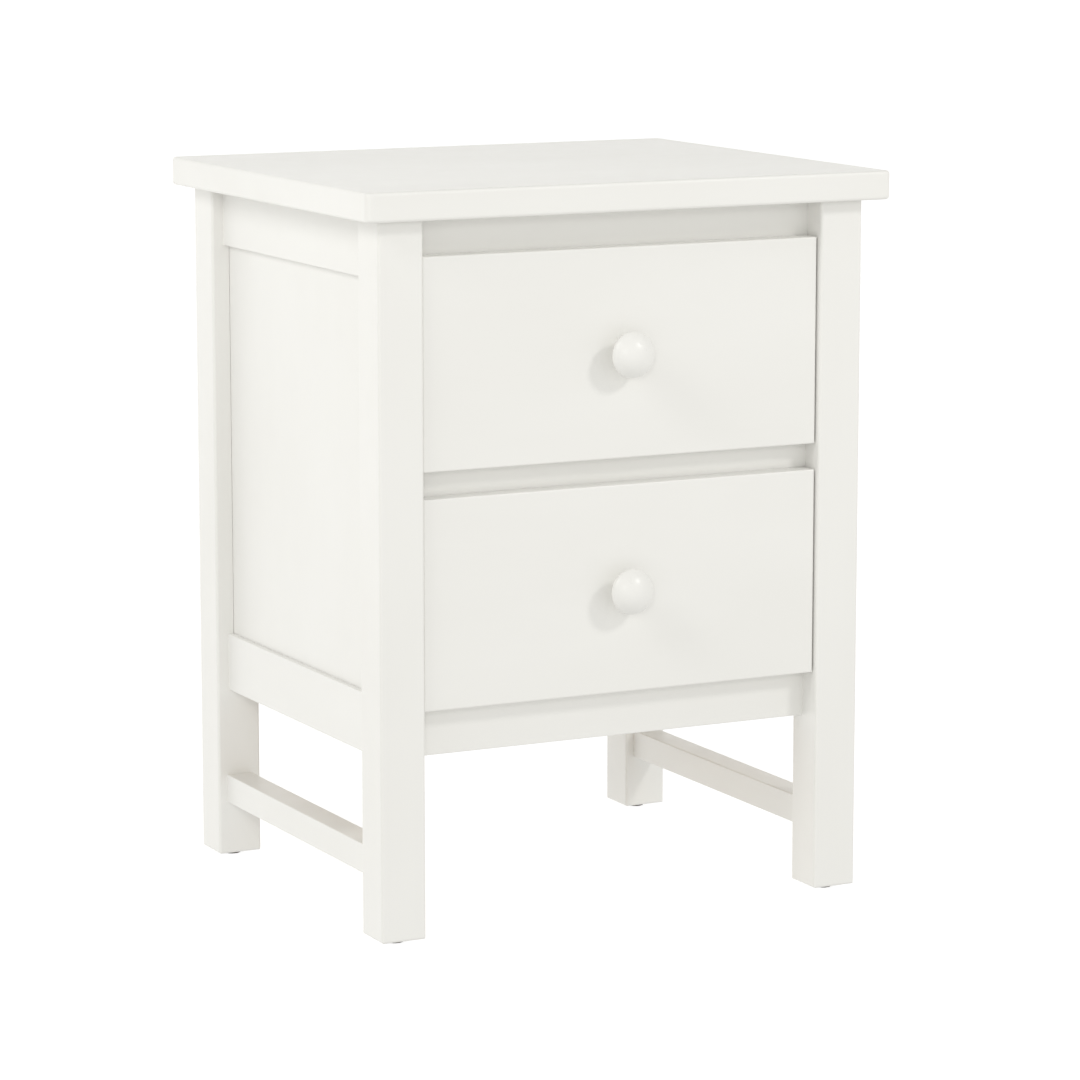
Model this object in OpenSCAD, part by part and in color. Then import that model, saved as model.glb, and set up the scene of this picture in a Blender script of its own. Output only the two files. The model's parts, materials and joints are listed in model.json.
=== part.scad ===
// Nightstand with two drawers on ball-bearing slides, in a framed case on four square legs.
// Millimetres. The front faces -Y, +X is to the right of a person who faces it, and +Z is up.
// The origin is on the floor, under the middle of the whole piece, knobs included.

/* [Case] */
// Height from the floor to the upper face of the top
height = 648; // [540:1:780]
// Width of the top
top_width = 505; // [420:1:610]
// Depth of the top, front to back
top_depth = 428; // [355:1:520]
// Thickness of the top
top_thickness = 25.5; // [21:0.5:31]
// How far the top stands out past the legs, at each side
top_overhang_side = 18.5; // [5:0.5:30]
// How far the top stands out past the legs, at the front
top_overhang_front = 18; // [5:0.5:30]
// How far the top stands out past the legs, at the back
top_overhang_back = 9; // [0:0.5:20]
// Side of a square leg
leg_size = 41.5; // [34:0.5:50]
// Height of the case's lower edge above the floor
case_bottom = 159; // [100:1:195]

/* [Side frames] */
// Height of the upper and the lower side rail
side_rail_height = 52.5; // [40:0.5:65]
// Thickness of the side rails and the back rails
rail_thickness = 19.5; // [16:0.5:24]
// Thickness of a side panel
panel_thickness = 8; // [6:0.5:10]
// Depth of the grooves that hold the side panels and the back panel
panel_groove = 8; // [5:0.5:10]
// Height of a stretcher
stretcher_height = 26; // [20:0.5:32]
// Thickness of a stretcher
stretcher_thickness = 25; // [18:0.5:30]
// Height of the stretchers' lower edge above the floor
stretcher_bottom = 53; // [30:1:70]
// Thickness of the back panel
back_panel_thickness = 5; // [3:0.5:8]
// How far the back panel lies in front of the legs' back faces
back_panel_inset = 8; // [2:0.5:10]

/* [Drawer fronts] */
// Space between the top and the upper drawer front
front_gap_top = 32; // [24:1:40]
// Space between the two drawer fronts
front_gap_between = 23; // [18:1:32]
// Height of the lower drawer front's lower edge above the case's lower edge
front_gap_bottom = 42.5; // [30:0.5:55]
// Space between a drawer front and the leg beside it
front_gap_side = 1.25; // [1:0.25:4]
// Thickness of a drawer front
front_thickness = 18; // [15:0.5:22]
// How far a drawer front lies behind the legs' front faces
front_setback = 5; // [0:0.5:6]
// How far the front rails reach up and down behind the drawer fronts
rail_overlap = 10; // [4:0.5:12]

/* [Drawer boxes] */
// Thickness of a drawer box's side, front and back
box_board = 12; // [9:0.5:15]
// Thickness of a drawer box's bottom
box_bottom_board = 5; // [3:0.5:8]
// Height of the bottom's lower face above the box's lower edge
box_bottom_raise = 10; // [6:0.5:16]
// Depth of the grooves that hold the bottom
box_groove = 6; // [3:0.5:7]
// Space between the rail under a drawer box and the box
box_gap_below = 9; // [4:0.5:14]
// Space between a drawer box and the rail over it
box_gap_above = 14; // [6:0.5:20]
// Space between a drawer box and the back rails
box_gap_behind = 25; // [15:1:40]
// Number of dovetails at each corner of a drawer box
tail_count = 4; // [2:1:6]

/* [Slides] */
// Thickness of a slide, which is the space between a leg and the drawer box
slide_thickness = 12.7; // [12.5:0.1:14]
// Height of a slide
slide_height = 45; // [42:0.5:50]
// Thickness of the slides' sheet steel
slide_steel = 1.2; // [1:0.1:1.4]
// Height of a slide cleat
cleat_height = 60; // [52:1:80]

/* [Knobs and glides] */
// Diameter of a knob's head
knob_diameter = 40; // [34:0.5:48]
// How far a knob stands out from the drawer front
knob_projection = 29; // [24:0.5:36]
// Diameter of a knob's neck
knob_neck = 15; // [12:0.5:18]
// Diameter of a glide under a leg
glide_diameter = 17; // [12:0.5:20]
// Height of a glide
glide_height = 4; // [3:0.5:8]

/* [Edges and fits] */
// Radius of the top's eased edges
top_edge = 3; // [1:0.25:5]
// Radius of the top's corners, seen from above
top_corner = 5; // [5:0.5:12]
// Radius of the legs' eased edges
leg_edge = 2.5; // [1:0.25:4]
// Radius of the drawer fronts' eased edges
front_edge = 1.5; // [0.5:0.25:3]
// Radius of the rails' and the stretchers' eased edges
rail_edge = 1; // [0.5:0.25:2.5]
// Radius of the drawer boxes' eased edges
box_edge = 1; // [0.5:0.25:2]
// Clearance all round a tenon in its mortise
tenon_clearance = 0.2; // [0.1:0.05:0.4]
// Clearance all round a panel in its grooves
panel_clearance = 0.3; // [0.1:0.05:0.6]
// Clearance at the flanks of a dovetail
tail_clearance = 0.1; // [0.05:0.05:0.2]
// Clearance round a screw where it passes through a piece
screw_clearance = 0.25; // [0.15:0.05:0.5]
// Clearance round a screw or a nail where it bites
bite_clearance = 0.05; // [0.02:0.01:0.1]
// Space between a drawer front and the rails behind it
rail_clearance = 1; // [0.5:0.25:2]
// Space between a ball and the raceway on each side of it
ball_play = 0.3; // [0.2:0.05:0.4]

/* [Hidden] */
$fn = 64;

paint = [0.93, 0.93, 0.91];
bare_wood = [0.87, 0.76, 0.60];
steel = [0.72, 0.73, 0.74];
dark_plastic = [0.16, 0.14, 0.12];

left = -1;
right = 1;
lower = 0;
upper = 1;
cut = 1; // how far a cut runs out past a face, and a tenon or a shank into its own body

// A range is [from, to] along one axis.
function around(middle, half) = [middle - half, middle + half];
function span(start, length) = [start, start + length];

// Case: its faces and its middle lines.
frame_width = top_width - 2 * top_overhang_side;
frame_depth = top_depth - top_overhang_front - top_overhang_back;
case_top = height - top_thickness;
knob_reach = knob_projection - front_setback;
face_y = (max(top_overhang_front, knob_reach) - (top_depth - top_overhang_front)) / 2;
back_y = face_y + frame_depth;
side_x = frame_width / 2;
inner_x = side_x - leg_size;
leg_mid_x = side_x - leg_size / 2;
front_leg_back = face_y + leg_size;
back_leg_front = back_y - leg_size;

// Tenons: a rail's tenons stop short of the tenons that come in from the side.
tenon_thickness = 9;
tenon_shoulder = 6;
tenon_wall = 1.25;
tenon_length = leg_size / 2 - tenon_thickness / 2 - tenon_wall;

// Drawer fronts, one over the other between the top and the case's lower edge.
front_height = (case_top - front_gap_top - front_gap_between - front_gap_bottom - case_bottom) / 2;
front_pitch = front_height + front_gap_between;
function front_z(level) = span(case_bottom + front_gap_bottom + level * front_pitch, front_height);
front_half_width = inner_x - front_gap_side;
front_face_y = face_y + front_setback;
front_back_y = front_face_y + front_thickness;

// Front rails lie behind the drawer fronts and end level with the legs' back faces.
front_rail_y = [front_back_y + rail_clearance, front_leg_back];
front_bottom_rail_z = [case_bottom, front_z(lower)[0] + rail_overlap];
front_middle_rail_z = [front_z(lower)[1] - rail_overlap, front_z(upper)[0] + rail_overlap];
front_top_rail_z = [front_z(upper)[1] - rail_overlap, case_top];
front_rails_z = [front_bottom_rail_z, front_middle_rail_z, front_top_rail_z];

// Side rails and stretchers are centred in the legs.
side_rails_z = [span(case_bottom, side_rail_height), [case_top - side_rail_height, case_top]];
stretcher_z = span(stretcher_bottom, stretcher_height);

// Back rails lie in front of the back panel.
back_panel_y = span(back_y - back_panel_inset - back_panel_thickness, back_panel_thickness);
back_rail_y = span(back_panel_y[0] - panel_clearance - rail_thickness, rail_thickness);
back_rails_z = side_rails_z;

// Drawer boxes fit between the rails, the slides and the back rails.
function opening_z(level) = [front_z(level)[0] + rail_overlap, front_z(level)[1] - rail_overlap];
function box_z(level) = opening_z(level) + [box_gap_below, -box_gap_above];
box_half_width = inner_x - slide_thickness;
box_front_y = front_back_y;
box_back_y = back_rail_y[0] - box_gap_behind;
box_height = box_z(lower)[1] - box_z(lower)[0];
tail_pitch = box_height / tail_count;
tail_share = 0.62; // wide end of a dovetail, as a share of the pitch
tail_slope = 1 / 7;

// Slides come in steps of length, and the longest that fits the drawer box is used.
slide_step = 50;
slide_front_gap = 2;
slide_stays_in = 15; // part of a slide's length that stays inside when it is open
slide_length = floor((box_back_y - box_front_y) / slide_step) * slide_step;
slide_travel = slide_length - slide_stays_in;
slide_y = front_back_y + slide_front_gap;
middle_inset = 5;
function slide_z(level) = (box_z(level)[0] + box_z(level)[1]) / 2;

// Across a slide, u runs from the leg to the drawer box.
slide_screw_head = 0.8;
cabinet_flange_gap = 3.2; // from the cabinet member's flanges to the drawer box
cabinet_lip = 3.2;
middle_web_gap = 0.5; // from the screw heads to the middle member's web
middle_flange_gap = 2.5; // from the middle member's flanges to the drawer box
member_depth = 7.5;
outer_ball = 3.8;
inner_ball = 3.4;
cabinet_flange = slide_thickness - cabinet_flange_gap;
middle_u = [slide_steel + slide_screw_head + middle_web_gap, slide_thickness - middle_flange_gap];
middle_height = slide_height - 2 * (slide_steel + outer_ball + 2 * ball_play);
member_u = [slide_thickness - member_depth, slide_thickness];
member_height = middle_height - 2 * (slide_steel + inner_ball + 2 * ball_play);
outer_ball_u = 5.2;
inner_ball_u = 7.8;
outer_ball_w = middle_height / 2 + ball_play + outer_ball / 2;
inner_ball_w = member_height / 2 + ball_play + inner_ball / 2;

// A ball cage stays between its two members over the whole travel.
cage_end_gap = 12;
cage_thickness = 1;
cage_width = 2.8;
cage_length = slide_length - slide_travel / 2 - 2 * (middle_inset + cage_end_gap);
ball_pitch = 20;
ball_count = floor(cage_length / ball_pitch);

// Cleats bring the slides level with the legs' inner faces.
cleat_x = [inner_x, leg_mid_x - panel_thickness / 2 - panel_clearance];
cleat_mid_x = (cleat_x[0] + cleat_x[1]) / 2;
cleat_screw_margin = 6; // space between a slide's screws and the cleat's tenons under them
function cleat_z(level) = around(slide_z(level), cleat_height / 2);
function cleat_tenon_z(level) = [cleat_z(level)[0], slide_z(level) - cleat_screw_margin + tenon_shoulder];

// Screws.
slide_screw_diameter = 3.5;
slide_screw_head_diameter = 7;
cabinet_screw_length = 14;
member_screw_length = 10;
cabinet_screw_inset = 10;
member_screw_inset = 30;
function slide_screws_y(inset) =
  [for (along = [inset, slide_length / 2, slide_length - inset]) slide_y + along];
screw_diameter = 4;
screw_head_diameter = 8;
screw_head_height = 2.4;
screw_point = 3;
screw_tip = 0.25; // width of a screw's tip, as a share of its shank's
screw_face = 0.8; // width of a head's flat face, as a share of its widest
recess_length = 3.8;
recess_width = 0.8;
front_screw_length = 25;
front_screw_edge = 26;
knob_screw_bite = 13;
knob_screw_length = box_board + front_thickness + knob_screw_bite;
top_screw_length = 38;
top_screw_grip = 22; // wood between a top screw's head and the top
top_screw_inset = 54; // from a leg to the nearest top screw
top_screws_x = [-1, 0, 1] * (inner_x - top_screw_inset);
counterbore_play = 1.5;
counterbore = screw_head_diameter + counterbore_play;

// Glides.
glide_nail = 2;
glide_nail_length = 12;
glide_edge = 1;

// Knob: a dome whose arc runs into the rounded rim without a corner.
knob_rim = 3.5;
knob_cap = 11.5; // from the widest part of the head to its tip
knob_underside = 9; // from the neck's upper end to the widest part of the head
knob_foot_step = 2.5;
knob_rim_r = knob_diameter / 2 - knob_rim;
knob_rim_z = knob_projection - knob_cap;
knob_dome = (knob_rim_r * knob_rim_r + knob_cap * knob_cap - knob_rim * knob_rim)
  / (2 * (knob_cap - knob_rim));
knob_dome_z = knob_projection - knob_dome;
knob_tangent = atan2(knob_rim_z - knob_dome_z, knob_rim_r);
knob_foot = knob_neck + 2 * knob_foot_step;
knob_foot_height = 2;
knob_flare_z = knob_rim_z - knob_underside;

// ---- Shapes ----

// A rectangle with true arcs at its corners.
module rounded_rect(x, y, r) {
  translate([r, 0]) square([x - 2 * r, y]);
  translate([0, r]) square([x, y - 2 * r]);
  for (i = [r, x - r], j = [r, y - r])
    translate([i, j]) circle(r);
}

// A block between ranges along X, Y and Z.
module block(x, y, z) {
  translate([x[0], y[0], z[0]]) cube([x[1] - x[0], y[1] - y[0], z[1] - z[0]]);
}

// The same with its long edges eased, for a bar that runs along X or along Y.
module bar_along_x(x, y, z, r) {
  translate([x[0], y[0], z[0]])
    rotate([90, 0, 90])
      linear_extrude(x[1] - x[0]) rounded_rect(y[1] - y[0], z[1] - z[0], r);
}

module bar_along_y(x, y, z, r) {
  translate([x[0], y[1], z[0]])
    rotate([90, 0, 0])
      linear_extrude(y[1] - y[0]) rounded_rect(x[1] - x[0], z[1] - z[0], r);
}

// The same with all its edges eased.
module eased_block(x, y, z, r) {
  intersection() {
    bar_along_x(x, y, z, r);
    bar_along_y(x, y, z, r);
    translate([x[0], y[0], z[0]])
      linear_extrude(z[1] - z[0]) rounded_rect(x[1] - x[0], y[1] - y[0], r);
  }
}

// A flat board with all its edges eased and its corners rounded seen from above.
module eased_board(x, y, z, r, corner) {
  bar_along_x(x + [corner, -corner], y, z, r);
  bar_along_y(x, y + [corner, -corner], z, r);
  for (i = x + [corner, -corner], j = y + [corner, -corner])
    translate([i, j, z[0]])
      rotate_extrude()
        intersection() {
          translate([-corner, 0]) rounded_rect(2 * corner, z[1] - z[0], r);
          square([corner, z[1] - z[0]]);
        }
}

// Everything is drawn for the right-hand side, and mirrored for the left.
module on_side(side) {
  if (side == left) mirror([1, 0, 0]) children();
  else children();
}

module on_both_sides() {
  children();
  mirror([1, 0, 0]) children();
}

// A screw that points along +Z, with the underside of its head at z = 0 and a cross recess.
module screw(length, diameter, head_diameter, head_height) {
  difference() {
    union() {
      cylinder(h = length - screw_point, d = diameter);
      translate([0, 0, length - screw_point])
        cylinder(h = screw_point, d1 = diameter, d2 = screw_tip * diameter);
      translate([0, 0, -head_height])
        cylinder(h = head_height, d1 = screw_face * head_diameter, d2 = head_diameter);
    }
    for (turn = [0, 90])
      translate([0, 0, -head_height])
        rotate(turn) cube([recess_length, recess_width, head_height], center = true);
  }
}

// ---- Joints in the wood ----

// A tenon from a rail along X into the right-hand leg. With grow it is the mortise.
module tenon_x(y, z, grow = 0) {
  mid = (y[0] + y[1]) / 2;
  block([inner_x - cut, inner_x + tenon_length + grow],
    around(mid, tenon_thickness / 2 + grow),
    [z[0] + tenon_shoulder - grow, z[1] - tenon_shoulder + grow]);
}

// A tenon from a bar along Y into the front leg. With grow it is the mortise.
module tenon_front(mid_x, z, grow = 0) {
  block(around(mid_x, tenon_thickness / 2 + grow),
    [front_leg_back - tenon_length - grow, front_leg_back + cut],
    [z[0] + tenon_shoulder - grow, z[1] - tenon_shoulder + grow]);
}

// A tenon from a bar along Y into the back leg. With grow it is the mortise.
module tenon_back(mid_x, z, grow = 0) {
  block(around(mid_x, tenon_thickness / 2 + grow),
    [back_leg_front - cut, back_leg_front + tenon_length + grow],
    [z[0] + tenon_shoulder - grow, z[1] - tenon_shoulder + grow]);
}

// The side panel and its tongues. With grow it is the grooves that hold it.
module side_panel_space(grow = 0) {
  block(around(leg_mid_x, panel_thickness / 2 + grow),
    [front_leg_back - panel_groove - grow, back_leg_front + panel_groove + grow],
    [side_rails_z[0][1] - panel_groove - grow, side_rails_z[1][0] + panel_groove + grow]);
}

// The back panel with its tongues in the back legs. With grow it is the grooves.
module back_panel_space(grow = 0) {
  block(around(0, inner_x + panel_groove + grow), back_panel_y + [-grow, grow], [case_bottom, case_top]);
}

// ---- Case ----

module top() {
  color(paint)
    difference() {
      eased_board(around(0, top_width / 2),
        span(face_y - top_overhang_front, top_depth),
        [case_top, height], top_edge, top_corner);
      top_screw_holes(screw_diameter / 2 + bite_clearance);
    }
}

module leg_blank(y) {
  eased_block([inner_x, side_x], y, [glide_height, case_top], leg_edge);
}

module glide_place(y) {
  translate([leg_mid_x, y, 0]) children();
}

module glide_nail_hole() {
  translate([0, 0, glide_height - cut])
    cylinder(h = glide_nail_length + cut + bite_clearance, d = glide_nail + 2 * bite_clearance);
}

module front_leg(side) {
  color(paint)
    on_side(side)
      difference() {
        leg_blank([face_y, front_leg_back]);
        for (z = front_rails_z) tenon_x(front_rail_y, z, tenon_clearance);
        for (z = concat(side_rails_z, [stretcher_z])) tenon_front(leg_mid_x, z, tenon_clearance);
        for (level = [lower, upper]) {
          tenon_front(cleat_mid_x, cleat_tenon_z(level), tenon_clearance);
          cabinet_screw_holes(level, slide_screw_diameter / 2 + bite_clearance);
        }
        side_panel_space(panel_clearance);
        glide_place(front_leg_back - leg_size / 2) glide_nail_hole();
      }
}

module back_leg(side) {
  color(paint)
    on_side(side)
      difference() {
        leg_blank([back_leg_front, back_y]);
        for (z = back_rails_z) tenon_x(back_rail_y, z, tenon_clearance);
        for (z = concat(side_rails_z, [stretcher_z])) tenon_back(leg_mid_x, z, tenon_clearance);
        for (level = [lower, upper]) tenon_back(cleat_mid_x, cleat_tenon_z(level), tenon_clearance);
        side_panel_space(panel_clearance);
        back_panel_space(panel_clearance);
        glide_place(back_leg_front + leg_size / 2) glide_nail_hole();
      }
}

// A rail along X, with a tenon at each end.
module cross_rail(y, z) {
  bar_along_x([-inner_x, inner_x], y, z, rail_edge);
  on_both_sides() tenon_x(y, z);
}

module front_rail(z) {
  color(paint) cross_rail(front_rail_y, z);
}

module front_top_rail() {
  color(paint)
    difference() {
      cross_rail(front_rail_y, front_top_rail_z);
      top_screw_holes(screw_diameter / 2 + screw_clearance);
      top_screw_counterbores(front_top_rail_z[0]);
    }
}

module back_bottom_rail() {
  color(paint) cross_rail(back_rail_y, back_rails_z[0]);
}

module back_top_rail() {
  color(paint)
    difference() {
      cross_rail(back_rail_y, back_rails_z[1]);
      top_screw_holes(screw_diameter / 2 + screw_clearance);
      top_screw_counterbores(back_rails_z[1][0]);
    }
}

module back_panel() {
  color(paint) back_panel_space();
}

// A bar along Y between a front leg and a back leg, with a tenon at each end.
module side_bar(x, z) {
  bar_along_y(x, [front_leg_back, back_leg_front], z, rail_edge);
  tenon_front((x[0] + x[1]) / 2, z);
  tenon_back((x[0] + x[1]) / 2, z);
}

module side_rail(side, z) {
  color(paint)
    on_side(side)
      difference() {
        side_bar(around(leg_mid_x, rail_thickness / 2), z);
        side_panel_space(panel_clearance);
      }
}

module side_panel(side) {
  color(paint) on_side(side) side_panel_space();
}

module stretcher(side) {
  color(paint) on_side(side) side_bar(around(leg_mid_x, stretcher_thickness / 2), stretcher_z);
}

module slide_cleat(side, level) {
  color(bare_wood)
    on_side(side)
      difference() {
        union() {
          bar_along_y(cleat_x, [front_leg_back, back_leg_front], cleat_z(level), rail_edge);
          tenon_front(cleat_mid_x, cleat_tenon_z(level));
          tenon_back(cleat_mid_x, cleat_tenon_z(level));
        }
        cabinet_screw_holes(level, slide_screw_diameter / 2 + bite_clearance);
      }
}

module at_top_screws() {
  for (x = top_screws_x, rail = [front_rail_y, back_rail_y])
    translate([x, (rail[0] + rail[1]) / 2, case_top - top_screw_grip]) children();
}

module top_screw_holes(r) {
  at_top_screws() translate([0, 0, -cut]) cylinder(h = top_screw_length + cut + bite_clearance, r = r);
}

module top_screw_counterbores(rail_bottom) {
  depth = case_top - top_screw_grip - rail_bottom;
  at_top_screws() translate([0, 0, -depth - cut]) cylinder(h = depth + cut, d = counterbore);
}

module top_screws() {
  color(steel)
    at_top_screws() screw(top_screw_length, screw_diameter, screw_head_diameter, screw_head_height);
}

module glide() {
  rotate_extrude() {
    translate([0, glide_edge]) square([glide_diameter / 2, glide_height - glide_edge]);
    square([glide_diameter / 2 - glide_edge, glide_height]);
    intersection() {
      translate([glide_diameter / 2 - glide_edge, glide_edge]) circle(glide_edge);
      square([glide_diameter, glide_edge]);
    }
    square([glide_nail / 2, glide_height + glide_nail_length]);
  }
}

module glides() {
  color(dark_plastic)
    on_both_sides()
      for (y = [front_leg_back - leg_size / 2, back_leg_front + leg_size / 2])
        glide_place(y) glide();
}

// ---- Slides ----

// Extrudes a section of the right-hand slide along Y. In the section, x is u and y is height.
module slide_extrude(level, y, length) {
  translate([inner_x, y + length, slide_z(level)])
    rotate([90, 0, 0])
      linear_extrude(length) mirror([1, 0]) children();
}

// A channel section that is open towards the drawer (opens = 1) or towards the leg (opens = -1).
module channel(u, section_height, opens) {
  web_u = opens > 0 ? u[0] : u[1] - slide_steel;
  translate([web_u, -section_height / 2]) square([slide_steel, section_height]);
  for (w = [-section_height / 2, section_height / 2 - slide_steel])
    translate([u[0], w]) square([u[1] - u[0], slide_steel]);
}

module cabinet_screw_holes(level, r) {
  for (y = slide_screws_y(cabinet_screw_inset))
    translate([inner_x - slide_steel - cut, y, slide_z(level)])
      rotate([0, 90, 0]) cylinder(h = cabinet_screw_length + cut + bite_clearance, r = r);
}

module member_screw_holes(level, r) {
  for (y = slide_screws_y(member_screw_inset))
    translate([inner_x - slide_thickness + slide_steel + cut, y, slide_z(level)])
      rotate([0, -90, 0]) cylinder(h = member_screw_length + cut + bite_clearance, r = r);
}

module cabinet_member(side, level) {
  color(steel)
    on_side(side)
      difference() {
        slide_extrude(level, slide_y, slide_length) {
          channel([0, cabinet_flange], slide_height, 1);
          for (w = [-slide_height / 2, slide_height / 2 - cabinet_lip])
            translate([cabinet_flange - slide_steel, w]) square([slide_steel, cabinet_lip]);
        }
        cabinet_screw_holes(level, slide_screw_diameter / 2 + screw_clearance);
      }
}

module cabinet_member_screws() {
  color(steel)
    on_both_sides()
      for (level = [lower, upper], y = slide_screws_y(cabinet_screw_inset))
        translate([inner_x - slide_steel, y, slide_z(level)])
          rotate([0, 90, 0])
            screw(cabinet_screw_length, slide_screw_diameter, slide_screw_head_diameter, slide_screw_head);
}

module middle_members(level) {
  color(steel)
    on_both_sides()
      slide_extrude(level, slide_y + middle_inset, slide_length - 2 * middle_inset)
        channel(middle_u, middle_height, 1);
}

// Two strips with balls in them, in the raceways over and under the inner of two members.
module ball_cages(level, u, w, ball) {
  start = slide_y + (slide_length - cage_length) / 2;
  first_ball = start + (cage_length - (ball_count - 1) * ball_pitch) / 2;
  color(steel)
    on_both_sides()
      for (half = [-1, 1]) {
        slide_extrude(level, start, cage_length)
          translate([u - cage_width / 2, half * w - cage_thickness / 2]) square([cage_width, cage_thickness]);
        for (i = [0:ball_count - 1])
          translate([inner_x - u, first_ball + i * ball_pitch, slide_z(level) + half * w])
            sphere(d = ball, $fn = 24);
      }
}

module outer_ball_cages(level) {
  ball_cages(level, outer_ball_u, outer_ball_w, outer_ball);
}

module inner_ball_cages(level) {
  ball_cages(level, inner_ball_u, inner_ball_w, inner_ball);
}

module drawer_member(side, level) {
  color(steel)
    on_side(side)
      difference() {
        slide_extrude(level, slide_y, slide_length) channel(member_u, member_height, -1);
        member_screw_holes(level, slide_screw_diameter / 2 + screw_clearance);
      }
}

module member_screws(level) {
  color(steel)
    on_both_sides()
      for (y = slide_screws_y(member_screw_inset))
        translate([inner_x - slide_thickness + slide_steel, y, slide_z(level)])
          rotate([0, -90, 0])
            screw(member_screw_length, slide_screw_diameter, slide_screw_head_diameter, slide_screw_head);
}

// ---- Drawers ----

module drawer_front(level) {
  color(paint)
    difference() {
      eased_block(around(0, front_half_width), [front_face_y, front_back_y], front_z(level), front_edge);
      knob_screw_hole(level);
      front_screw_holes(level, screw_diameter / 2 + bite_clearance);
    }
}

// Dovetails of one side board at one end, from the board's inner face at y_in to its end at y_out.
module tails(level, y_in, y_out, grow = 0) {
  wide = tail_share * tail_pitch / 2 + grow;
  narrow = wide - tail_slope * box_board;
  for (i = [0:tail_count - 1])
    translate([box_half_width - box_board, 0, box_z(level)[0] + (i + 0.5) * tail_pitch])
      rotate([90, 0, 90])
        linear_extrude(box_board)
          polygon([[y_in, -narrow], [y_out, -wide], [y_out, wide], [y_in, narrow]]);
}

// The bottom with its tongues in all four boards. With grow it is the grooves.
module box_bottom_space(level, grow = 0) {
  reach = box_board - box_groove - grow;
  bottom_z = span(box_z(level)[0] + box_bottom_raise, box_bottom_board);
  block(around(0, box_half_width - reach),
    [box_front_y + reach, box_back_y - reach],
    bottom_z + [-grow, grow]);
}

module box_side(side, level) {
  color(bare_wood)
    on_side(side)
      difference() {
        union() {
          bar_along_y([box_half_width - box_board, box_half_width],
            [box_front_y + box_board, box_back_y - box_board], box_z(level), box_edge);
          tails(level, box_front_y + box_board, box_front_y);
          tails(level, box_back_y - box_board, box_back_y);
        }
        box_bottom_space(level, panel_clearance);
        member_screw_holes(level, slide_screw_diameter / 2 + bite_clearance);
      }
}

module box_front(level) {
  color(bare_wood)
    difference() {
      bar_along_x(around(0, box_half_width), span(box_front_y, box_board), box_z(level), box_edge);
      on_both_sides() tails(level, box_front_y + box_board, box_front_y, tail_clearance);
      box_bottom_space(level, panel_clearance);
      knob_screw_hole(level);
      front_screw_holes(level, screw_diameter / 2 + screw_clearance);
    }
}

module box_back(level) {
  color(bare_wood)
    difference() {
      bar_along_x(around(0, box_half_width), [box_back_y - box_board, box_back_y], box_z(level), box_edge);
      on_both_sides() tails(level, box_back_y - box_board, box_back_y, tail_clearance);
      box_bottom_space(level, panel_clearance);
    }
}

module box_bottom(level) {
  color(bare_wood) box_bottom_space(level);
}

// The places of the four screws from the box front into the drawer front, pointing to -Y.
module at_front_screws(level) {
  z = box_z(level) + [front_screw_edge, -front_screw_edge];
  for (x = around(0, box_half_width - box_board - front_screw_edge), at_z = z)
    translate([x, box_front_y + box_board, at_z]) rotate([90, 0, 0]) children();
}

module front_screw_holes(level, r) {
  at_front_screws(level)
    translate([0, 0, -cut]) cylinder(h = front_screw_length + cut + bite_clearance, r = r);
}

module front_screws(level) {
  color(steel)
    at_front_screws(level)
      screw(front_screw_length, screw_diameter, screw_head_diameter, screw_head_height);
}

function knob_z(level) = (front_z(level)[0] + front_z(level)[1]) / 2;

module knob_screw_hole(level) {
  translate([0, box_front_y + box_board + cut, knob_z(level)])
    rotate([90, 0, 0])
      cylinder(h = box_board + front_thickness + 2 * cut, r = screw_diameter / 2 + screw_clearance);
}

module knob_screw(level) {
  color(steel)
    translate([0, box_front_y + box_board, knob_z(level)])
      rotate([90, 0, 0])
        screw(knob_screw_length, screw_diameter, screw_head_diameter, screw_head_height);
}

// Half of the knob's outline, with its axis along y and its foot on the drawer front.
module knob_outline() {
  square([knob_foot / 2, knob_foot_height]);
  square([knob_neck / 2, knob_rim_z]);
  polygon([[0, knob_flare_z], [knob_neck / 2, knob_flare_z], [knob_rim_r, knob_rim_z - knob_rim],
    [knob_rim_r, knob_rim_z], [0, knob_dome_z + knob_dome * sin(knob_tangent)]]);
  translate([knob_rim_r, knob_rim_z]) circle(knob_rim);
  intersection() {
    translate([0, knob_dome_z]) circle(knob_dome);
    polygon([[0, knob_dome_z],
      [knob_dome * cos(knob_tangent), knob_dome_z + knob_dome * sin(knob_tangent)],
      [knob_dome * cos(knob_tangent), knob_projection + cut], [0, knob_projection + cut]]);
  }
}

module knob(level) {
  color(paint)
    translate([0, front_face_y, knob_z(level)])
      rotate([90, 0, 0])
        difference() {
          rotate_extrude() knob_outline();
          translate([0, 0, -cut])
            cylinder(h = knob_screw_bite + cut + 2 * bite_clearance, r = screw_diameter / 2 + bite_clearance);
        }
}

// ---- Nodes ----

top();
front_leg(left);  // leg_front_left
front_leg(right);  // leg_front_right
back_leg(left);  // leg_back_left
back_leg(right);  // leg_back_right
front_rail(front_bottom_rail_z);  // front_bottom_rail
front_rail(front_middle_rail_z);  // front_middle_rail
front_top_rail();
back_bottom_rail();
back_top_rail();
back_panel();
side_rail(left, side_rails_z[1]);  // side_top_rail_left
side_rail(right, side_rails_z[1]);  // side_top_rail_right
side_rail(left, side_rails_z[0]);  // side_bottom_rail_left
side_rail(right, side_rails_z[0]);  // side_bottom_rail_right
side_panel(left);  // side_panel_left
side_panel(right);  // side_panel_right
stretcher(left);  // stretcher_left
stretcher(right);  // stretcher_right
top_screws();
glides();
slide_cleat(left, upper);  // upper_slide_cleat_left
slide_cleat(right, upper);  // upper_slide_cleat_right
slide_cleat(left, lower);  // lower_slide_cleat_left
slide_cleat(right, lower);  // lower_slide_cleat_right
cabinet_member(left, upper);  // upper_cabinet_member_left
cabinet_member(right, upper);  // upper_cabinet_member_right
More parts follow.
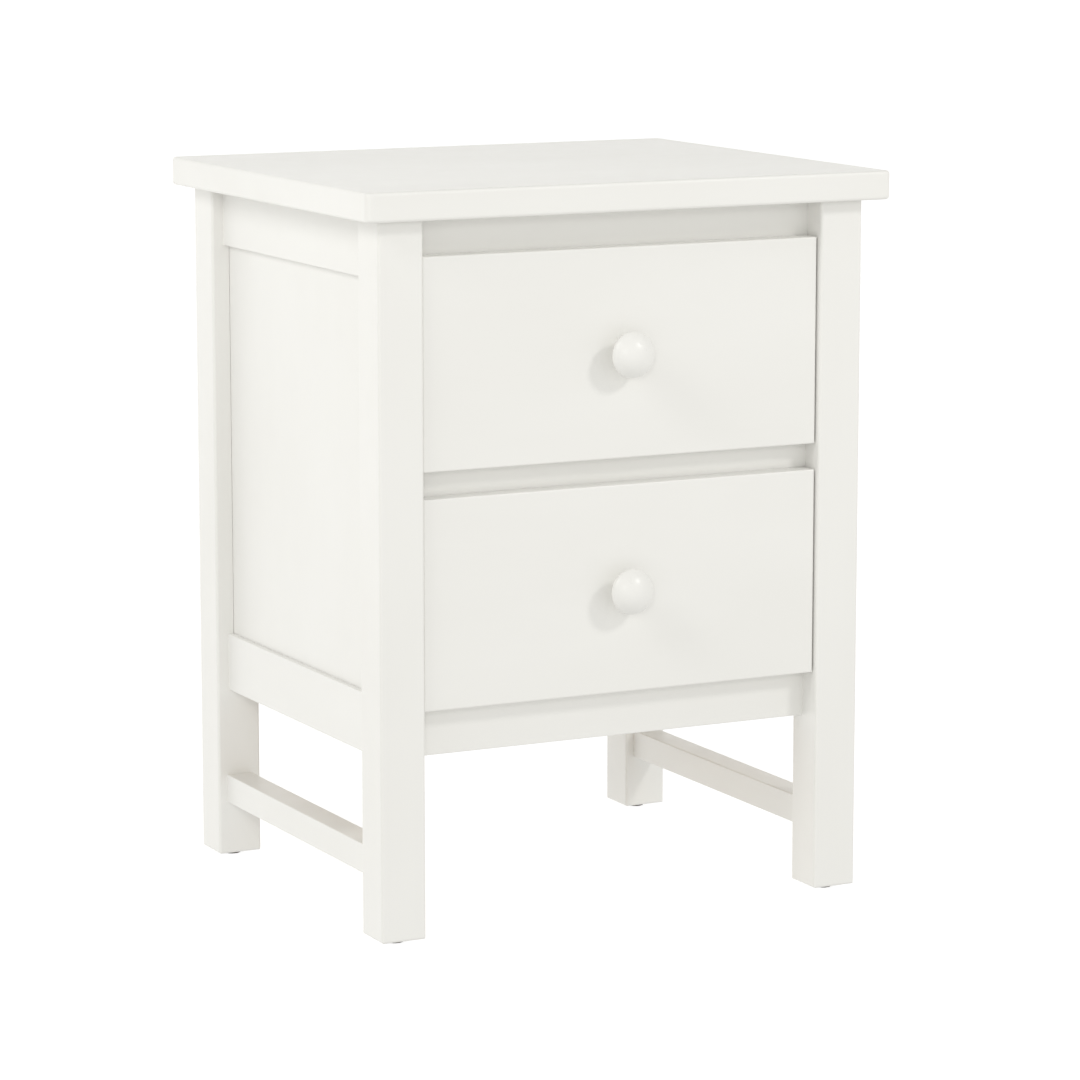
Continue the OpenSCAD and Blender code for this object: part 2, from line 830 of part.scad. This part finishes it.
cabinet_member(left, lower);  // lower_cabinet_member_left
cabinet_member(right, lower);  // lower_cabinet_member_right
cabinet_member_screws();
middle_members(upper);  // upper_middle_members
outer_ball_cages(upper);  // upper_outer_ball_cages
inner_ball_cages(upper);  // upper_inner_ball_cages
middle_members(lower);  // lower_middle_members
outer_ball_cages(lower);  // lower_outer_ball_cages
inner_ball_cages(lower);  // lower_inner_ball_cages
drawer_front(upper);  // upper_drawer_front
box_front(upper);  // upper_box_front
box_back(upper);  // upper_box_back
box_side(left, upper);  // upper_box_side_left
box_side(right, upper);  // upper_box_side_right
box_bottom(upper);  // upper_box_bottom
knob(upper);  // upper_knob
knob_screw(upper);  // upper_knob_screw
front_screws(upper);  // upper_front_screws
drawer_member(left, upper);  // upper_drawer_member_left
drawer_member(right, upper);  // upper_drawer_member_right
member_screws(upper);  // upper_member_screws
drawer_front(lower);  // lower_drawer_front
box_front(lower);  // lower_box_front
box_back(lower);  // lower_box_back
box_side(left, lower);  // lower_box_side_left
box_side(right, lower);  // lower_box_side_right
box_bottom(lower);  // lower_box_bottom
knob(lower);  // lower_knob
knob_screw(lower);  // lower_knob_screw
front_screws(lower);  // lower_front_screws
drawer_member(left, lower);  // lower_drawer_member_left
drawer_member(right, lower);  // lower_drawer_member_right
member_screws(lower);  // lower_member_screws
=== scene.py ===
"""Looks of a painted nightstand with two drawers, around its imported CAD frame.

Metres. The front faces -Y and +Z is up. Every board gets a material whose grain runs along it.
"""

import json
import math

import bpy
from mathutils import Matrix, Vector


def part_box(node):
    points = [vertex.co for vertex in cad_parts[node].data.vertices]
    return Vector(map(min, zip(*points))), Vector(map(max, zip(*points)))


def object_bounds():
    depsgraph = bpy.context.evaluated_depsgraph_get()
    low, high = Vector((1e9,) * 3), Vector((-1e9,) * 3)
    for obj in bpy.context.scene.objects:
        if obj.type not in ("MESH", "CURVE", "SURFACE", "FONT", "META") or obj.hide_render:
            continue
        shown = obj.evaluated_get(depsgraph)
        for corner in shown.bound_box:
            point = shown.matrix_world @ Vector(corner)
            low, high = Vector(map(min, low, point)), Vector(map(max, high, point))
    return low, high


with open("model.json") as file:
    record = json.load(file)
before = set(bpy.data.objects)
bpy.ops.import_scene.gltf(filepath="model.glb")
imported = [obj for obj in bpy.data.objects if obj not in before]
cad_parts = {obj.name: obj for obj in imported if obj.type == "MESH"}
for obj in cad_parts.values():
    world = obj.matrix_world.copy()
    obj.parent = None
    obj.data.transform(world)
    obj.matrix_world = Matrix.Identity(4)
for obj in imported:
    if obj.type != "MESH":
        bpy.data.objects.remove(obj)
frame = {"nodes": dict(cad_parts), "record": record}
cad_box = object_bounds()
nodes = frame["nodes"]
scene = bpy.context.scene

MM = 0.001
X, Y, Z = 0, 1, 2
SLOTS = {part["node"]: part["material_slot"] for part in frame["record"]["subparts"]}


# ---- Node graphs ----

# The Mix node's sockets for colours go by number, because its other sockets have the same names.
MIX_SHARE, MIX_LOW, MIX_HIGH, MIX_RESULT = 0, 6, 7, 2
# The surface normal's largest part. Up to the first it is an eased edge, from the second a flat face.
EASED_AT = 0.72
FLAT_AT = 0.98


def feed(tree, socket, value):
    """Gives a socket its value: a number, a vector, a colour or another node's output."""
    if isinstance(value, bpy.types.NodeSocket):
        tree.links.new(value, socket)
    else:
        socket.default_value = value


def maths(tree, operation, first, second):
    """The result of a sum on two numbers or outputs."""
    made = tree.nodes.new("ShaderNodeMath")
    made.operation = operation
    feed(tree, made.inputs[0], first)
    feed(tree, made.inputs[1], second)
    return made.outputs["Value"]


class Graph:
    """A material's nodes, with its Principled shader ready to be fed."""

    def __init__(self, name):
        self.material = bpy.data.materials.new(name)
        self.material.use_nodes = True
        self.tree = self.material.node_tree
        self.shader = self.tree.nodes["Principled BSDF"]

    def node(self, kind, settings=None, **sockets):
        """A new node, with its settings and its sockets' values. An underscore stands for a space."""
        made = self.tree.nodes.new("ShaderNode" + kind)
        for key, value in (settings or {}).items():
            setattr(made, key, value)
        for key, value in sockets.items():
            feed(self.tree, made.inputs[key.replace("_", " ")], value)
        return made

    def shade(self, **sockets):
        """Feeds the shader's sockets."""
        for key, value in sockets.items():
            feed(self.tree, self.shader.inputs[key.replace("_", " ")], value)

    def coordinates(self):
        """The piece's own coordinates, which ride with it."""
        return self.node("TexCoord").outputs["Object"]

    def stretched(self, along, stretch, offset):
        """Coordinates that run slowly along the grain, so that a pattern is long in that direction."""
        scale = [1.0, 1.0, 1.0]
        scale[along] = 1.0 / stretch
        made = self.node("Mapping", Vector=self.coordinates(), Scale=scale, Location=offset)
        return made.outputs["Vector"]

    def noise(self, vector, size, detail=2.0, roughness=0.5, distortion=0.0):
        """Soft noise from 0 to 1, whose blotches are about size across."""
        made = self.node(
            "TexNoise",
            Vector=vector,
            Scale=1.0 / size,
            Detail=detail,
            Roughness=roughness,
            Distortion=distortion,
        )
        return made.outputs["Fac"]

    def spread(self, value, low, high, start=0.3, end=0.7):
        """Maps a value from start..end to low..high."""
        made = self.node(
            "MapRange",
            {"clamp": True},
            Value=value,
            From_Min=start,
            From_Max=end,
            To_Min=low,
            To_Max=high,
        )
        return made.outputs["Result"]

    def blend(self, share, low, high):
        """A colour between two others."""
        made = self.node("Mix", {"data_type": "RGBA"})
        for index, value in ((MIX_SHARE, share), (MIX_LOW, low), (MIX_HIGH, high)):
            feed(self.tree, made.inputs[index], value)
        return made.outputs[MIX_RESULT]

    def maths(self, operation, first, second):
        """The result of a sum, in this material's own nodes."""
        return maths(self.tree, operation, first, second)

    def bump(self, height, depth, below=None):
        """A bump whose full height is depth, on top of another bump."""
        made = self.node("Bump", Height=height, Distance=depth, Strength=1.0)
        if below is not None:
            self.tree.links.new(below, made.inputs["Normal"])
        return made.outputs["Normal"]

    def edges(self):
        """From 0 on faces that look along an axis to 1 on eased edges, which look between two."""
        normal = self.node("TexCoord").outputs["Normal"]
        size = self.node("VectorMath", {"operation": "ABSOLUTE"}, Vector=normal)
        parts = self.node("SeparateXYZ", Vector=size.outputs["Vector"])
        most = self.maths("MAXIMUM", parts.outputs["X"], parts.outputs["Y"])
        most = self.maths("MAXIMUM", most, parts.outputs["Z"])
        return self.spread(most, 1.0, 0.0, EASED_AT, FLAT_AT)


def colour(red, green, blue):
    return (red, green, blue, 1.0)


# ---- Materials ----

PAINT = colour(0.862, 0.856, 0.832)
PAINT_DEEP = colour(0.842, 0.835, 0.808)
# Lighter paint for the eased edges: a painted highlight along them.
PAINT_EDGE_HIGHLIGHT = colour(0.878, 0.868, 0.838)
PAINT_IOR = 1.46
PAINT_GLOSS = 0.36
KNOB_GLOSS = 0.27
# How much rougher a dull speck is, and how much smoother an edge that hands have rubbed.
SPECK_GLOSS = 0.09
RUBBED_GLOSS = 0.09
PEEL_SIZE = 1.1 * MM
PEEL_RELIEF = 0.012 * MM
GRAIN_SIZE = 1.6 * MM
GRAIN_RELIEF = 0.022 * MM
BOARD_RELIEF = 0.03 * MM

PLY_PALE = colour(0.66, 0.50, 0.32)
PLY_DARK = colour(0.56, 0.40, 0.235)
PLY_PORE = colour(0.40, 0.27, 0.15)
PLY_RELIEF = 0.03 * MM
WOOD_IOR = 1.47
WOOD_RELIEF = 0.05 * MM
RING_WIDTH = 3.4 * MM
# The Wave node's bands are 2 pi / (20 x its scale) apart.
RING_SCALE = 2 * math.pi / (20 * RING_WIDTH)

OIL = colour(0.30, 0.28, 0.24)
STREAK_RELIEF = 0.006 * MM
# A dull crystal's brightness, as a share of a bright one's.
DULL_SHARE = 0.82

PLASTIC = colour(0.052, 0.038, 0.028)
PLASTIC_SCUFFED = colour(0.105, 0.082, 0.066)
PLASTIC_RELIEF = 0.02 * MM


def paint(name, along, offset, eased=True, gloss=PAINT_GLOSS):
    """Satin paint, sprayed over sanded wood whose grain still shows a little in the film."""
    g = Graph(name)
    place = g.coordinates()
    grain = g.noise(g.stretched(along, 30.0, offset), GRAIN_SIZE, 3.0, 0.55, 0.3)
    cloud = g.noise(g.stretched(along, 2.5, offset), 90 * MM, 3.0)
    peel = g.noise(place, PEEL_SIZE, 1.0)
    speck = g.noise(place, 14 * MM, 4.0, 0.6)
    tone = g.blend(g.spread(cloud, 0.0, 1.0), PAINT, PAINT_DEEP)
    sheen = g.spread(speck, gloss, gloss + SPECK_GLOSS)
    if eased:
        # Eased edges are painted lighter in patches, a painted highlight along the edges; the same mask
        # also makes them smoother.
        rub_and_edge_highlight = g.maths("MULTIPLY", g.edges(), g.spread(g.noise(place, 6 * MM, 3.0), 0.2, 1.0))
        tone = g.blend(rub_and_edge_highlight, tone, PAINT_EDGE_HIGHLIGHT)
        sheen = g.maths("SUBTRACT", sheen, g.maths("MULTIPLY", rub_and_edge_highlight, RUBBED_GLOSS))
    film = g.bump(grain, GRAIN_RELIEF)
    film = g.bump(peel, PEEL_RELIEF, film)
    g.shade(Base_Color=tone, Roughness=sheen, Normal=film, IOR=PAINT_IOR)
    return g.material


def board_paint(name, along, offset):
    """Thinner paint on a smooth board, which takes up the board's fine pressed texture."""
    g = Graph(name)
    place = g.coordinates()
    felt = g.noise(place, 0.7 * MM, 2.0, 0.6)
    wave = g.noise(g.stretched(along, 4.0, offset), 60 * MM, 2.0)
    tone = g.blend(g.spread(wave, 0.0, 1.0), PAINT, PAINT_DEEP)
    g.shade(
        Base_Color=tone,
        Roughness=g.spread(felt, 0.46, 0.58),
        Normal=g.bump(felt, BOARD_RELIEF),
        IOR=PAINT_IOR,
    )
    return g.material


def wood(name, along, offset, pale, dark, gloss):
    """Light wood with growth rings round a pith beside the board: stripes, and arcs on end grain."""
    g = Graph(name)
    turn = {X: (0.0, math.pi / 2, 0.0), Y: (math.pi / 2, 0.0, 0.0), Z: (0.0, 0.0, 0.0)}[along]
    fibres = g.stretched(along, 14.0, offset)
    wander = g.noise(fibres, 45 * MM, 2.0)
    fine = g.noise(g.stretched(along, 60.0, offset), 0.5 * MM, 3.0, 0.6)
    flecks = g.noise(g.stretched(along, 25.0, offset), 1.4 * MM, 2.0, 0.7)
    pith = g.node("Mapping", {"vector_type": "POINT"}, Vector=fibres, Rotation=turn)
    rings = g.node(
        "TexWave",
        {"wave_type": "RINGS", "rings_direction": "Z", "wave_profile": "SAW"},
        Vector=pith.outputs["Vector"],
        Scale=RING_SCALE,
        Distortion=3.2,
        Detail=2.0,
        Detail_Scale=0.05,
        Detail_Roughness=0.55,
    )
    band = g.maths("MULTIPLY", rings.outputs["Fac"], g.spread(wander, 0.45, 1.0))
    tone = g.blend(band, pale, dark)
    tone = g.blend(g.spread(fine, 0.0, 0.35, 0.35, 0.8), tone, WOOD_PORE)
    pores = g.spread(flecks, 0.0, 1.0, 0.62, 0.74)
    tone = g.blend(g.maths("MULTIPLY", pores, 0.45), tone, WOOD_PORE)
    sheen = g.maths("ADD", g.spread(fine, gloss, gloss + 0.12), g.maths("MULTIPLY", pores, 0.08))
    relief = g.bump(g.maths("SUBTRACT", fine, g.maths("MULTIPLY", pores, 0.5)), WOOD_RELIEF)
    g.shade(Base_Color=tone, Roughness=sheen, Normal=relief, IOR=WOOD_IOR)
    return g.material


def plywood(name, along, offset):
    """Rotary-cut face veneer: broad, soft figure and short pores."""
    g = Graph(name)
    figure = g.noise(g.stretched(along, 7.0, offset), 28 * MM, 3.0, 0.5, 1.4)
    pores = g.spread(g.noise(g.stretched(along, 18.0, offset), 0.9 * MM, 2.0, 0.6), 0.0, 1.0, 0.58, 0.75)
    tone = g.blend(g.spread(figure, 0.0, 1.0, 0.35, 0.65), PLY_PALE, PLY_DARK)
    tone = g.blend(g.maths("MULTIPLY", pores, 0.5), tone, PLY_PORE)
    g.shade(
        Base_Color=tone,
        Roughness=g.spread(figure, 0.46, 0.56),
        Normal=g.bump(pores, -PLY_RELIEF),
        IOR=WOOD_IOR,
    )
    return g.material


def zinc(name, along, tint, shine, oiled=0.0):
    """Rolled or turned steel with bright zinc: drawn streaks, faint crystals, and oil where balls run."""
    g = Graph(name)
    place = g.coordinates()
    streak = g.noise(g.stretched(along, 80.0, (0.0, 0.0, 0.0)), 0.35 * MM, 3.0, 0.6)
    crystal = g.node("TexVoronoi", Vector=place, Scale=1.0 / (2.5 * MM)).outputs["Distance"]
    smear = g.noise(g.stretched(along, 5.0, (0.3, 0.1, 0.2)), 12 * MM, 3.0)
    bright = colour(*tint)
    dull = colour(*(DULL_SHARE * part for part in tint))
    tone = g.blend(g.spread(crystal, 0.0, 0.5, 0.1, 0.9), bright, dull)
    oil = g.maths("MULTIPLY", g.spread(smear, 0.0, 1.0, 0.5, 0.75), oiled)
    tone = g.blend(oil, tone, OIL)
    sheen = g.maths("ADD", g.spread(streak, shine, shine + 0.16), g.maths("MULTIPLY", smear, 0.08))
    g.shade(Base_Color=tone, Roughness=sheen, Normal=g.bump(streak, STREAK_RELIEF), Metallic=1.0)
    return g.material


def glide_plastic():
    """Dark brown moulded plastic, a little scuffed where it stands."""
    g = Graph("glide_plastic")
    place = g.coordinates()
    grain = g.noise(place, 0.35 * MM, 2.0)
    scuff = g.spread(g.noise(place, 3 * MM, 4.0, 0.7), 0.0, 1.0, 0.55, 0.7)
    tone = g.blend(scuff, PLASTIC, PLASTIC_SCUFFED)
    sheen = g.spread(scuff, 0.38, 0.6, 0.0, 1.0)
    g.shade(Base_Color=tone, Roughness=sheen, Normal=g.bump(grain, PLASTIC_RELIEF))
    return g.material


def longest(node):
    """The axis that a node is longest along."""
    low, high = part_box(node)
    size = high - low
    return max((X, Y, Z), key=lambda axis: size[axis])


def grain_axis(node):
    """Grain runs along a board, and up a side panel or the back panel."""
    return Z if "panel" in node else longest(node)


def offset_for(number):
    """A different stretch of the pattern for each board, stepped by the golden ratio."""
    golden = 0.618034
    return tuple(round((number * golden * (axis + 1)) % 1.0, 4) for axis in (X, Y, Z))


def pith_for(node, number):
    """Puts the pith of a board's rings beside or under it, a hand's breadth away."""
    low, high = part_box(node)
    middle = (low + high) / 2
    along = grain_axis(node)
    away = [0.055 + 0.006 * (number % 5), -0.035 - 0.004 * (number % 7), 0.05 + 0.005 * (number % 4)]
    away[along] = 0.37 * number
    return tuple(-middle[axis] + away[axis] if axis != along else away[axis] for axis in (X, Y, Z))


DRAWER_PALE = colour(0.69, 0.515, 0.33)
DRAWER_DARK = colour(0.535, 0.350, 0.190)
WOOD_PORE = colour(0.40, 0.255, 0.135)
CLEAT_PALE = colour(0.66, 0.50, 0.325)
CLEAT_DARK = colour(0.50, 0.34, 0.19)
SLIDE_TINT = (0.66, 0.67, 0.68)
CAGE_TINT = (0.60, 0.605, 0.61)
SCREW_TINT = (0.62, 0.60, 0.54)


def material_for(node, number):
    """The material that a node's slot in the record stands for, laid along the node's grain."""
    slot = SLOTS[node]
    along = grain_axis(node)
    if slot == "painted_wood" and "knob" in node:
        return paint("paint_" + node, along, offset_for(number), eased=False, gloss=KNOB_GLOSS)
    if slot == "painted_wood":
        return paint("paint_" + node, along, offset_for(number))
    if slot == "painted_board":
        return board_paint("paint_" + node, along, offset_for(number))
    if slot == "drawer_wood":
        return wood("wood_" + node, along, pith_for(node, number), DRAWER_PALE, DRAWER_DARK, 0.36)
    if slot == "cleat_wood":
        return wood("wood_" + node, along, pith_for(node, number), CLEAT_PALE, CLEAT_DARK, 0.55)
    if slot == "plywood":
        return plywood("plywood_" + node, X, offset_for(number))
    if slot == "slide_steel":
        return zinc("zinc_" + node, Y, SLIDE_TINT, 0.24, oiled=0.25)
    if slot == "ball_cage_steel":
        return zinc("cage_" + node, Y, CAGE_TINT, 0.16, oiled=0.6)
    if slot == "screw_steel":
        return zinc("screw_" + node, Z, SCREW_TINT, 0.22)
    return glide_plastic()


for number, node in enumerate(sorted(nodes)):
    made = material_for(node, number)
    mesh = nodes[node].data
    for index in range(len(mesh.materials)):
        mesh.materials[index] = made


# ---- Stage ----

# Half of the floor's side, in metres.
FLOOR_HALF = 30.0
FLOOR_PALE = colour(0.42, 0.42, 0.42)
FLOOR_SHADE = colour(0.40, 0.40, 0.40)
FLOOR_GLOW = 0.80
WHITE = colour(1.0, 1.0, 1.0)
LIGHT_TINT = (1.0, 0.996, 0.972)
WORLD_ABOVE = 0.43
WORLD_BELOW = 0.70
# The axis, its sign and the strength of the light from that side. The back is the strongest, for the top.
WORLD_SIDES = (("Y", -1.0, 0.94), ("Y", 1.0, 1.57), ("X", -1.0, 0.80), ("X", 1.0, 0.78))
# Name, the way that the light travels, distance in metres, size in metres, power in watts.
SOFTBOXES = (
    ("key", (-0.67, 1.0, -0.79), 3.2, 0.42, 16.5),
    ("front_fill", (0.6, 1.0, -0.33), 3.4, 0.28, 7.0),
    ("left_fill", (0.95, 0.32, -0.78), 3.0, 0.9, 16.0),
)


def floor():
    """A pale floor that reaches past the picture on every side. Only the camera sees it."""
    mesh = bpy.data.meshes.new("floor")
    corners = [(x * FLOOR_HALF, y * FLOOR_HALF, 0) for x, y in ((-1, -1), (1, -1), (1, 1), (-1, 1))]
    mesh.from_pydata(corners, [], [(0, 1, 2, 3)])
    made = bpy.data.objects.new("floor", mesh)
    scene.collection.objects.link(made)
    g = Graph("floor")
    mottle = g.noise(g.coordinates(), 0.25, 2.0)
    g.shade(
        Base_Color=g.blend(g.spread(mottle, 0.0, 1.0), FLOOR_PALE, FLOOR_SHADE),
        Roughness=0.9,
        Emission_Color=WHITE,
        Emission_Strength=FLOOR_GLOW,
    )
    mesh.materials.append(g.material)
    # The studio lights the piece from below, so the floor must not block that light or add to it.
    made.visible_diffuse = False
    made.visible_glossy = False
    made.visible_shadow = False


def studio():
    """Light from all round. Above, below and each side have their own strength, and blend smoothly."""
    world = bpy.data.worlds.new("studio")
    scene.world = world
    world.use_nodes = True
    tree = world.node_tree
    place = tree.nodes.new("ShaderNodeTexCoord")
    parts = tree.nodes.new("ShaderNodeSeparateXYZ")
    tree.links.new(place.outputs["Generated"], parts.inputs["Vector"])
    height = parts.outputs["Z"]
    level = maths(tree, "SUBTRACT", 1.0, maths(tree, "MULTIPLY", height, height))
    above = maths(tree, "MULTIPLY", maths(tree, "MAXIMUM", height, 0.0), WORLD_ABOVE)
    below = maths(tree, "MULTIPLY", maths(tree, "MINIMUM", height, 0.0), -WORLD_BELOW)
    total = maths(tree, "ADD", above, below)
    for axis, sign, strength in WORLD_SIDES:
        towards = maths(tree, "MAXIMUM", maths(tree, "MULTIPLY", parts.outputs[axis], sign), 0.0)
        share = maths(tree, "MULTIPLY", maths(tree, "MULTIPLY", towards, towards), level)
        total = maths(tree, "ADD", total, maths(tree, "MULTIPLY", share, strength))
    back = tree.nodes["Background"]
    back.inputs["Color"].default_value = colour(*LIGHT_TINT)
    tree.links.new(total, back.inputs["Strength"])


def softbox(name, travel, distance, size, power):
    """A square lamp whose light travels along travel, towards the middle of the nightstand."""
    data = bpy.data.lights.new(name, "AREA")
    data.shape = "SQUARE"
    data.size = size
    data.energy = power
    data.color = LIGHT_TINT
    lamp = bpy.data.objects.new(name, data)
    scene.collection.objects.link(lamp)
    way = Vector(travel).normalized()
    middle = (Vector(cad_box[0]) + Vector(cad_box[1])) / 2
    lamp.location = middle - way * distance
    lamp.rotation_euler = way.to_track_quat("-Z", "Y").to_euler()


floor()
studio()
for settings in SOFTBOXES:
    softbox(*settings)


# ---- Camera ----

# Angles in degrees, places in metres, the sensor and the lens in millimetres.
CAMERA_YAW = 26.86
CAMERA_PITCH = 9.67
CAMERA_DISTANCE = 3.870
CAMERA_AIM = (0.0144, 0.0, 0.3061)
SENSOR_WIDTH = 36.0
FOCAL_LENGTH = 142.2


def camera():
    """Stands to the left of the front, a little above the top, and looks down at the drawers."""
    yaw = math.radians(CAMERA_YAW)
    pitch = math.radians(CAMERA_PITCH)
    way = Vector((math.sin(yaw) * math.cos(pitch), math.cos(yaw) * math.cos(pitch), -math.sin(pitch)))
    data = bpy.data.cameras.new("camera")
    data.sensor_width = SENSOR_WIDTH
    data.lens = FOCAL_LENGTH
    made = bpy.data.objects.new("camera", data)
    scene.collection.objects.link(made)
    made.location = Vector(CAMERA_AIM) - way * CAMERA_DISTANCE
    made.rotation_euler = way.to_track_quat("-Z", "Y").to_euler()
    scene.camera = made


camera()
scene.view_settings.view_transform = "Standard"
